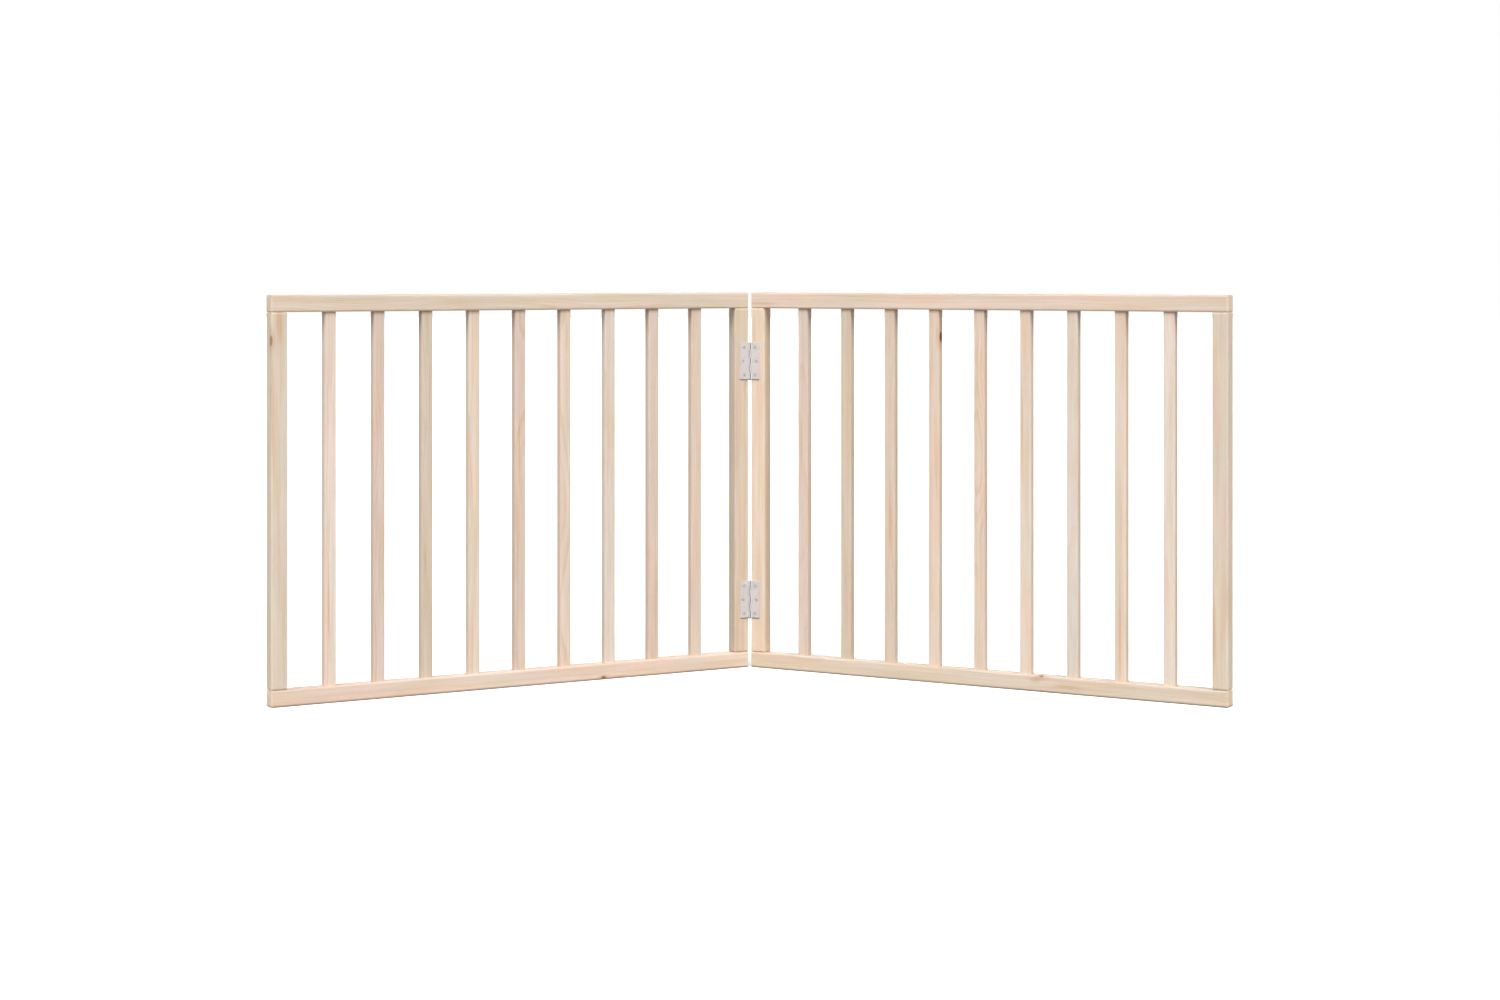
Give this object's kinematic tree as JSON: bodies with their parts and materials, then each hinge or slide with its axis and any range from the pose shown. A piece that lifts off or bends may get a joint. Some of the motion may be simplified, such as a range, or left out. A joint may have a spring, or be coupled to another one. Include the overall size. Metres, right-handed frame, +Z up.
{
  "type": "pet gate",
  "caption": "Free-standing folding pet gate: two framed pine panels of upright slats, joined edge to edge by two steel butt hinges.",
  "frame": {"origin": "on the floor, in the middle of the standing gate's footprint", "axes": "+Z up; -Y is the front, the side with the hinges, toward which the V of the two panels opens; +X runs to the right seen from the front"},
  "size_m": [1.4088, 0.4168, 0.6],
  "materials": {
    "pine": "planed and unfinished, fine straight grain with a few small knots",
    "beech_dowel": "plain beech dowel",
    "hinge_steel": "pale zinc plate, matt",
    "screw_steel": "zinc plate, satin"
  },
  "bodies": {
    "left_panel": {"left_top_rail": "pine", "left_bottom_rail": "pine", "left_outer_stile": "pine", "left_hinge_stile": "pine", "left_slat_1": "pine", "left_slat_2": "pine", "left_slat_3": "pine", "left_slat_4": "pine", "left_slat_5": "pine", "left_slat_6": "pine", "left_slat_7": "pine", "left_slat_8": "pine", "left_slat_9": "pine", "left_corner_dowels": "beech_dowel", "upper_hinge_left_leaf": "hinge_steel", "upper_hinge_pin": "hinge_steel", "upper_hinge_left_screws": "screw_steel", "lower_hinge_left_leaf": "hinge_steel", "lower_hinge_pin": "hinge_steel", "lower_hinge_left_screws": "screw_steel"},
    "right_panel": {"right_top_rail": "pine", "right_bottom_rail": "pine", "right_outer_stile": "pine", "right_hinge_stile": "pine", "right_slat_1": "pine", "right_slat_2": "pine", "right_slat_3": "pine", "right_slat_4": "pine", "right_slat_5": "pine", "right_slat_6": "pine", "right_slat_7": "pine", "right_slat_8": "pine", "right_slat_9": "pine", "right_corner_dowels": "beech_dowel", "upper_hinge_right_leaf": "hinge_steel", "upper_hinge_right_screws": "screw_steel", "lower_hinge_right_leaf": "hinge_steel", "lower_hinge_right_screws": "screw_steel"}
  },
  "joints": [
    {"name": "panel_fold", "type": "hinge", "parent": "left_panel", "child": "right_panel", "pos_m": [0, 0.18918, 0.3], "axis": [0, 0, 1], "range_deg": [-120, 60]}
  ]
}
